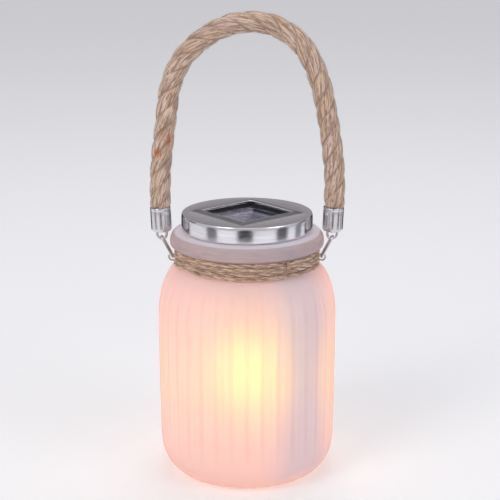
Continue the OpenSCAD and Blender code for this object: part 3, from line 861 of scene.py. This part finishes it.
def rope_line():
    """The rope's middle from deep in the left ferrule to deep in the right one."""
    ends = (ROPE_START, 9.0, FERRULE_LEN, FERRULE_LEN + 0.4)
    route = [on_ferrule(-1, d) for d in ends]
    route += [(x, 0.0, RIM_Z + up) for x, up in ROPE_ROUTE]
    route += [on_ferrule(1, d) for d in reversed(ends)]
    return smooth_line(route, 0.8)


def rope_girth(along):
    """How full the rope is, from its squeezed ends in the ferrules to its free length."""
    from_mouth = np.minimum(along, along[-1] - along) - FERRULE_LEN + ROPE_START
    free = smooth_step((from_mouth - 0.5) / 2.5)
    return (ROPE_IN_R + (ROPE_R - ROPE_IN_R) * free) / ROPE_R


def strand_section(strand, along):
    """One strand's outline, out from the rope's middle and across it, with the turn of its yarns."""
    around = np.arange(ROPE_SIDES) * 2 * np.pi / ROPE_SIDES
    girth = rope_girth(along)[:, None]
    wobble = 1 + 0.025 * np.sin(along / 9.0 + 2.1 * strand) + 0.015 * np.sin(along / 3.7 + strand)
    yarn = around - YARN_TURN * along[:, None]
    bump = np.abs(np.sin(0.5 * YARNS * yarn + 0.35 * np.sin(along / 6.0)[:, None]))
    size = 1 + (YARN_BUMP / STRAND_WIDE) * (bump - 1)
    out = girth * (STRAND_OFFSET + wobble[:, None] * STRAND_DEEP * size * np.cos(around))
    side = girth * wobble[:, None] * STRAND_WIDE * size * np.sin(around)
    return out, side, yarn


def rope_strands(line, along):
    """Right-handed strands: points, faces, unrolled places and painted shade that darkens the points deep
    between the strands.
    """
    tangent = unit(np.gradient(line, axis=0))
    across = unit(np.cross(tangent, (0, 1, 0)))
    depth_way = np.cross(tangent, across)
    girth = rope_girth(along)[:, None]
    points, faces, flat, deep = [], [], [], []
    for strand in range(STRANDS):
        out, side, yarn = strand_section(strand, along)
        angle = 2 * np.pi * (along / ROPE_LAY + strand / STRANDS)
        c, s = np.cos(angle)[:, None], np.sin(angle)[:, None]
        a, b = out * c - side * s, out * s + side * c
        points.append(line[:, None] + a[..., None] * across[:, None] + b[..., None] * depth_way[:, None])
        faces += skin(len(line), ROPE_SIDES, strand * len(line) * ROPE_SIDES)
        flat.append(unrolled(STRAND_WIDE, yarn, 20 * strand, along))
        # Painted shade in the grooves between the strands, stronger in some stretches than in others
        lit = smooth_step((np.hypot(a, b) / girth - GROOVE_REACH - 0.05) / 0.6)
        shade = 0.4 + 0.4 * np.sin(along / 3.4 + 1.9 * strand)[:, None]
        deep.append(1 - (1 - lit) * shade)
    return gathered(points), faces, gathered(flat), np.concatenate(deep).ravel()


def rope_stains(body):
    """How much each point is stained."""
    patch = np.zeros(len(body))
    for middle, reach in ROPE_STAINS:
        spot = np.linalg.norm((body - middle) / reach, axis=1)
        patch = np.maximum(patch, smooth_step(1.4 - spot))
    return patch


def build_rope():
    """Rope of three strands with loose fibres; their yarns turn the other way, almost along the rope."""
    line, along = rope_line()
    body, faces, flat, deep = rope_strands(line, along)
    centre = shared(line, ROPE_SIDES, STRANDS)
    way = shared(unit(np.gradient(line, axis=0)), ROPE_SIDES, STRANDS)
    out = unit(body - centre)
    surface = np.linalg.norm(body - centre, axis=1) > FUZZ_FROM_R
    off_ferrules = np.abs(body[:, 2] - BARE_BAND[0]) > BARE_BAND[1]
    outer = np.flatnonzero(surface & off_ferrules)
    fuzz = hairs(body[outer], way[outer], out[outer], ROPE_FUZZ, 0.5)
    jute = plant_fibre("jute_rope", *ROPE_SHADES, ROPE_STAIN)
    rope = spun_piece("rope", body, faces, flat, deep, fuzz, jute)
    keep(rope, "stain", np.concatenate([rope_stains(body), np.zeros(len(fuzz[0]))]))
    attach(rope, "handle")
    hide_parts("handle_rope")


def build_ferrule(name, side, material):
    """Drawn steel cup with a rounded closed end, a fine groove and a thin rolled mouth."""
    r, top, edge, wall = FERRULE_R, FERRULE_LEN, FERRULE_EDGE, FERRULE_WALL
    profile = [(0.01, 0.05), (2.0, 0.05)] + arc(r - edge, edge, edge, edge, -90, 0, 10)
    profile += straight((r, edge), (r, top - 2.6), 4)
    profile += [(r - 0.12, top - 2.2), (r - 0.12, top - 1.9), (r, top - 1.5), (r, top - 0.35)]
    profile += arc(r - 0.3, top - 0.3, 0.3, 0.3, 0, 180, 6)
    profile += [(r - wall, top - 0.4), (r - wall, 4.0), (r - 2, 2.2), (0.01, 1.4)]
    rings = turned(profile, FERRULE_SIDES, lambda r, h, a: r * (1 - 0.006 * np.cos(3 * a + 1.0) * (h > 3)))
    c, s = math.cos(FERRULE_TILT), math.sin(FERRULE_TILT)
    foot_x, foot_z = FERRULE_FOOT
    x, y, z = rings[..., 0], rings[..., 1], rings[..., 2]
    points = np.stack([side * (foot_x + x * c + z * s), side * y, foot_z - x * s + z * c], axis=-1)
    piece = mesh_piece(name + "_cup", points.reshape(-1, 3), skin(len(profile), FERRULE_SIDES), [material])
    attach(piece, "handle")
    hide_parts(name)
    return piece


# ------ twine
def twine_line():
    """One twine wound level round the neck groove; it steps up and ends at the back left."""
    begin, step, tail = math.radians(TWINE_STEP_AT), math.radians(TWINE_STEP_LONG), math.radians(TWINE_TAIL)
    angle = np.arange(begin - tail, begin + 2 * np.pi * TWINE_TURNS + tail, math.radians(3))
    turn = (angle - begin) / (2 * np.pi)
    whole = np.clip(np.floor(turn), 0, TWINE_TURNS - 1)
    risen = smooth_step(((turn - whole) * 2 * np.pi - 2 * np.pi + step) / step)
    level = np.clip(whole + risen, 0, TWINE_TURNS - 1)
    z = TWINE_LOW_Z + TWINE_PITCH * level + 0.2 * np.sin(2.3 * angle + 1.0) + 0.16 * np.sin(5.1 * angle)
    radius = TWINE_RING_R + 0.14 * np.sin(3.7 * angle)
    radius = np.minimum(radius, TWINE_FLAT_X / np.maximum(np.abs(np.cos(angle)), 0.2) - TWINE_SPUN_R)
    tucked = smooth_step(np.maximum(begin - angle, angle - angle[-1] + tail) / tail)
    radius -= TWINE_TUCK * tucked
    z += TWINE_PITCH * 0.6 * tucked * np.where(turn < 1, 1, -1)
    return smooth_line(np.stack([radius * np.cos(angle), radius * np.sin(angle), z], axis=1), 0.7)


def hitch_line():
    """A short loop of one ply, pulled down over the two upper turns at the right."""
    c, s = math.cos(math.radians(HITCH_AT)), math.sin(math.radians(HITCH_AT))
    return smooth_line([(r * c - t * s, r * s + t * c, z) for r, t, z in HITCH_ROUTE], 0.5)


def twisted(line, along, plies, ply_r, offset, lay, first=0):
    """Plies laid round a line: what rope_strands gives, and each point's middle and way."""
    tangent = unit(np.gradient(line, axis=0))
    out = unit(line * (1, 1, 0))
    up = unit(np.cross(tangent, out))
    out = np.cross(up, tangent)
    around = np.arange(PLY_SIDES) * 2 * np.pi / PLY_SIDES
    points, faces, flat, deep = [], [], [], []
    for ply in range(plies):
        angle = 2 * np.pi * (along / lay + ply / plies) + 0.9 * np.sin(along / 9.0 + 2.0 * ply)
        size = ply_r * (1 + 0.16 * np.sin(along / 5.3 + 1.7 * ply) + 0.1 * np.sin(along / 2.1 + ply))
        way = offset * (1 + 0.25 * np.sin(along / 6.7 + 2.6 * ply))
        a = (way * np.cos(angle))[:, None] + size[:, None] * np.cos(around)
        b = (way * np.sin(angle))[:, None] + size[:, None] * np.sin(around)
        points.append(line[:, None] + a[..., None] * out[:, None] + b[..., None] * up[:, None])
        faces += skin(len(line), PLY_SIDES, first + ply * len(line) * PLY_SIDES)
        flat.append(unrolled(ply_r, around + 0.35 * along[:, None], 9 * ply + 0.37 * first, along))
        # Painted shade between the plies and on their side towards the neck
        deep.append(smooth_step((np.hypot(a, b) - 0.3) / 0.8) * smooth_step((a + 1.0) / 1.3))
    middle, way = shared(line, PLY_SIDES, plies), shared(tangent, PLY_SIDES, plies)
    return gathered(points), faces, gathered(flat), np.concatenate(deep).ravel(), middle, way


def build_twine():
    """The wound twine, its hitch and their loose fibres, in one piece."""
    wound = twisted(*twine_line(), *WOUND_LAY)
    hitch = twisted(*hitch_line(), *HITCH_LAY, len(wound[0]))
    body, faces, flat, deep, middle, way = [
        a + b if isinstance(a, list) else np.concatenate([a, b]) for a, b in zip(wound, hitch)]
    leave = unit(body - middle)
    surface = np.hypot(body[:, 0], body[:, 1]) > TWINE_FUZZ_FROM_R
    off_ears = np.abs(body[:, 0]) < TWINE_FUZZ_TO_X
    outer = np.flatnonzero(surface & off_ears)
    fuzz = hairs(body[outer], way[outer], leave[outer], TWINE_FUZZ, 0.45)
    jute = plant_fibre("jute_twine", *TWINE_SHADES)
    twine = spun_piece("twine", body, faces, flat, deep, fuzz, jute)
    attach(twine, "jar")
    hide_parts("neck_twine")


# ------ lid
def square_ring(width, z, sides):
    """Points of the turned square, one for each direction of a circle of points."""
    angle = np.arange(sides) * 2 * np.pi / sides
    local = (angle - WINDOW_TURN + np.pi / 4) % (np.pi / 2) - np.pi / 4
    radius = 0.5 * width / np.cos(local)
    return np.stack([radius * np.cos(angle), radius * np.sin(angle), np.full(sides, z)], axis=1)


def cap_outside():
    """Skirt that draws in towards its foot, slow rounded edge and the start of the plate."""
    bulge_z, edge_z = CAP_LOW_Z + CAP_BULGE_UP, CAP_TOP_Z - CAP_EDGE_DEEP
    outside = [(CAP_R - CAP_BULGE - 0.25, CAP_LOW_Z)]
    for z in np.linspace(CAP_LOW_Z + 0.25, bulge_z, 12):
        outside.append((CAP_R - CAP_BULGE * ((bulge_z - z) / CAP_BULGE_UP) ** 2, z))
    outside += straight((CAP_R, bulge_z), (CAP_R, edge_z - 0.1), 4)
    outside += arc(CAP_R - CAP_EDGE_R, edge_z, CAP_EDGE_R, CAP_EDGE_DEEP, 2, 90, 24)
    return outside + [(CAP_R - 1.2, CAP_TOP_Z), (CAP_R - 2.7, CAP_TOP_Z)]


def cap_frame():
    """Raised frame round the window, as (width of the square, height over the plate)."""
    inner, top = WINDOW_W + FRAME_EDGE, FRAME_RISE
    slope = [(FRAME_W + 1.2, 0), (FRAME_W, 0.08), (inner + 1.0, top - 0.12), (inner + 0.4, top - 0.02)]
    edge = [(inner, top), (WINDOW_W + 0.16, top - 0.06), (WINDOW_W, top - 0.2)]
    return slope + edge + [(WINDOW_W, -CAP_TOP_T)]


def cap_under():
    """Underside of the plate and the skirt's inside."""
    plate_z, skirt_r = CAP_TOP_Z - CAP_TOP_T, CAP_R - CAP_T
    return [(CAP_R - 3.7, plate_z), (skirt_r - CAP_T, plate_z), (skirt_r, CAP_TOP_Z - CAP_EDGE_DEEP),
            (skirt_r, CAP_LOW_Z)]


def build_cap():
    """Pressed steel cap, as one closed sheet with a square window."""
    outside, frame_lip, under = cap_outside(), cap_frame(), cap_under()
    rings = [turned(outside, CAP_SIDES).reshape(-1, 3)]
    rings += [square_ring(width, CAP_TOP_Z + up, CAP_SIDES) for width, up in frame_lip]
    rings += [turned(under, CAP_SIDES).reshape(-1, 3)]
    count = len(outside) + len(frame_lip) + len(under)
    faces = skin(count, CAP_SIDES, ends=False)
    last = (count - 1) * CAP_SIDES
    faces += [[last + i, last + (i + 1) % CAP_SIDES, (i + 1) % CAP_SIDES, i] for i in range(CAP_SIDES)]
    cap = mesh_piece("cap", np.vstack(rings), faces, [cap_steel()])
    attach(cap, "lid")
    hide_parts("lid_cap")


# ------ carried-over nodes
def dress(nodes, material):
    """Gives carried-over nodes a finish; their meshes stay as they are."""
    for name in nodes:
        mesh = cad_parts[name].data
        mesh.materials.clear()
        mesh.materials.append(material)


def dress_all():
    """Finishes of every node that keeps its mesh."""
    wire = steel("wire_steel", (0.80, 0.79, 0.80), 0.2, (1.0, 1.0, 0.2), 0.25)
    dress(["neck_hoop", "left_link", "right_link", "left_eye", "right_eye"], wire)
    dress(["window_gasket"], plastic("black_rubber", (0.012, 0.012, 0.014), 0.6))
    dress(["panel_cover"], clear_resin())
    dress(["solar_cell"], cell_blue())
    dress(["lid_housing", "base_cover", "battery_door", "lamp_stem", "lamp_collar"],
          plastic("black_plastic", (0.02, 0.02, 0.022), 0.42))
    dress(["lid_seal"], silicone())
    dress(["circuit_board"], board_green())
    dress(["board_parts"], plastic("component_black", (0.03, 0.03, 0.035), 0.3, 0.1))
    dress(["battery"], battery_wrap())
    dress(["battery_spring", "battery_plate", "switch_case"],
          steel("contact_steel", (0.82, 0.81, 0.78), 0.25, (0.2, 1.0, 1.0)))
    dress(["cover_screws", "door_screw"], steel("screw_steel", (0.6, 0.6, 0.62), 0.3, (1.0, 1.0, 0.1), 0.3))
    dress(["led_board"], plastic("board_white", (0.8, 0.8, 0.77), 0.4, 0.1))
    dress(["leds"], led_amber())
    dress(["flame_diffuser"], flame_frost())
    dress(["panel_leads", "battery_leads"], plastic("lead_red", (0.45, 0.03, 0.025), 0.4, 0.1))
    dress(["lamp_leads"], plastic("lead_black", (0.02, 0.02, 0.02), 0.4, 0.1))
    dress(["switch_slider"], plastic("switch_white", (0.72, 0.72, 0.7), 0.4, 0.1))


# ------ stage, lights and camera
# Cards that show dark in the polished steel, as (azimuth from the front in degrees, width in mm, shade)
DARK_CARDS = [
    (-3, 215, 0.02), (-61, 165, 0.22), (61, 180, 0.09), (97, 130, 0.3),
    (-140, 430, 0.05), (140, 430, 0.05),
]
CARD_AWAY = 450.0
CARD_MIDDLE_Z = 66.0
CARD_REACH = 118.0
CARD_POINTS = 48

# Dark rail round the back, in mm and degrees
RAIL_AWAY = 1500.0
RAIL_HEIGHTS = 175.0, 570.0
RAIL_SPAN = 10, 170
RAIL_POINTS = 33
RAIL_SHADE = 0.01

# Lamps, in metres and watts: name, place, size, power and colour
LAMPS = [
    ("key", (-1.0, -1.1, 1.3), 0.9, 9.0, (1.0, 0.97, 0.94)),
    ("fill", (1.2, -0.9, 0.9), 0.9, 4.0, (0.95, 0.96, 1.0)),
    ("top", (0.1, 0.5, 1.6), 0.8, 5.0, (1.0, 1.0, 1.0)),
]
LAMPS_AIM = (0, 0, 0.12)
BACKDROP_SHADES = (0.578, 0.578, 0.603), (0.92, 0.92, 0.95)
ROOM_SHADE = (0.42, 0.42, 0.44)

CAMERA_PLACE = (0.0018, -0.8201, 0.3636)
CAMERA_TILT = math.radians(74.75)


def seen(tree):
    """1 for what the camera sees straight, in a reflection or through glass."""
    ray = put(tree, "ShaderNodeLightPath").outputs
    indirect = maths(tree, "MAXIMUM", ray["Is Glossy Ray"], ray["Is Transmission Ray"])
    return maths(tree, "MAXIMUM", ray["Is Camera Ray"], indirect)


def add_floor():
    """Pale floor; seen straight or in a reflection it is a little brighter, and it keeps the shadow."""
    material, tree, shader = new_material(
        "pale_floor", (0.88, 0.88, 0.89), Roughness=0.8, Specular_IOR_Level=0.1, Emission_Strength=0.2)
    join(tree, shader, Emission_Color=mixed(tree, seen(tree), (0.0, 0.0, 0.0), (0.95, 0.95, 1.0)))
    half, low = 9000, -0.3
    corners = [(-half, -half, low), (half, -half, low), (half, half, low), (-half, half, low)]
    mesh_piece("floor", corners, [[0, 1, 2, 3]], [material])


def dark_card(name, points, faces, shade):
    """A dark sheet that only shows in polished steel."""
    material = new_material(name, (shade, shade, shade * 1.1), Roughness=1.0)[0]
    card = mesh_piece(name, points, faces, [material])
    for ray in ("camera", "diffuse", "transmission", "shadow"):
        setattr(card, "visible_" + ray, False)


def add_cards():
    """Round-topped cards that stand on the floor and face the lantern."""
    t = np.arange(CARD_POINTS) * 2 * np.pi / CARD_POINTS
    up = np.maximum(CARD_MIDDLE_Z + CARD_REACH * np.sin(t), 1.0)
    for number, (azimuth, width, shade) in enumerate(DARK_CARDS):
        side = 0.5 * width * np.cos(t)
        c, s = math.cos(math.radians(azimuth)), math.sin(math.radians(azimuth))
        points = np.stack([CARD_AWAY * s + side * c, side * s - CARD_AWAY * c, up], axis=1)
        dark_card("dark_card_%d" % number, points, [list(range(CARD_POINTS))], shade)


def add_rail():
    """A dark rail round the back, just above the height of the lid."""
    t = np.radians(np.linspace(*RAIL_SPAN, RAIL_POINTS))
    x, y = RAIL_AWAY * np.cos(t), RAIL_AWAY * np.sin(t)
    points = np.vstack([np.column_stack([x, y, np.full(RAIL_POINTS, z)]) for z in RAIL_HEIGHTS])
    faces = [[i, i + 1, i + 1 + RAIL_POINTS, i + RAIL_POINTS] for i in range(RAIL_POINTS - 1)]
    dark_card("dark_rail", points, faces, RAIL_SHADE)


def add_lamp(name, place_at, size, power, colour):
    """A round soft lamp that is aimed at the lantern."""
    lamp = bpy.data.lights.new(name, "AREA")
    lamp.shape = "DISK"
    lamp.size = size
    lamp.energy = power
    lamp.color = colour
    made = bpy.data.objects.new(name, lamp)
    made.location = place_at
    made.rotation_euler = (Vector(LAMPS_AIM) - Vector(place_at)).to_track_quat("-Z", "Y").to_euler()
    bpy.context.scene.collection.objects.link(made)


def add_world():
    """Even light, with a soft backdrop that grows paler overhead."""
    world = bpy.data.worlds.new("soft_room")
    world.use_nodes = True
    tree = world.node_tree
    light = tree.nodes["Background"]
    up = parts_of(tree, put(tree, "ShaderNodeTexCoord").outputs["Generated"])[2]
    overhead = spread(tree, up, 0.35, 0.75, smooth=True)
    backdrop = mixed(tree, overhead, *BACKDROP_SHADES)
    tree.links.new(mixed(tree, seen(tree), ROOM_SHADE, backdrop), light.inputs["Color"])
    bpy.context.scene.world = world


def add_camera():
    camera = bpy.data.cameras.new("camera")
    camera.lens = 99.4
    camera.sensor_width = 36
    made = bpy.data.objects.new("camera", camera)
    made.location = CAMERA_PLACE
    made.rotation_euler = (CAMERA_TILT, 0, 0)
    bpy.context.scene.collection.objects.link(made)
    bpy.context.scene.camera = made


add_camera()
add_floor()
add_world()
for lamp_values in LAMPS:
    add_lamp(*lamp_values)
add_cards()
add_rail()
bpy.context.scene.view_settings.view_transform = "Standard"

ferrule_steel = steel("ferrule_steel", (0.80, 0.78, 0.79), 0.24, (1.0, 1.0, 0.05), 0.2)
cups = [build_ferrule("left_ferrule", -1, ferrule_steel), build_ferrule("right_ferrule", 1, ferrule_steel)]
build_rope()
build_jar()
build_twine()
build_cap()
dress_all()
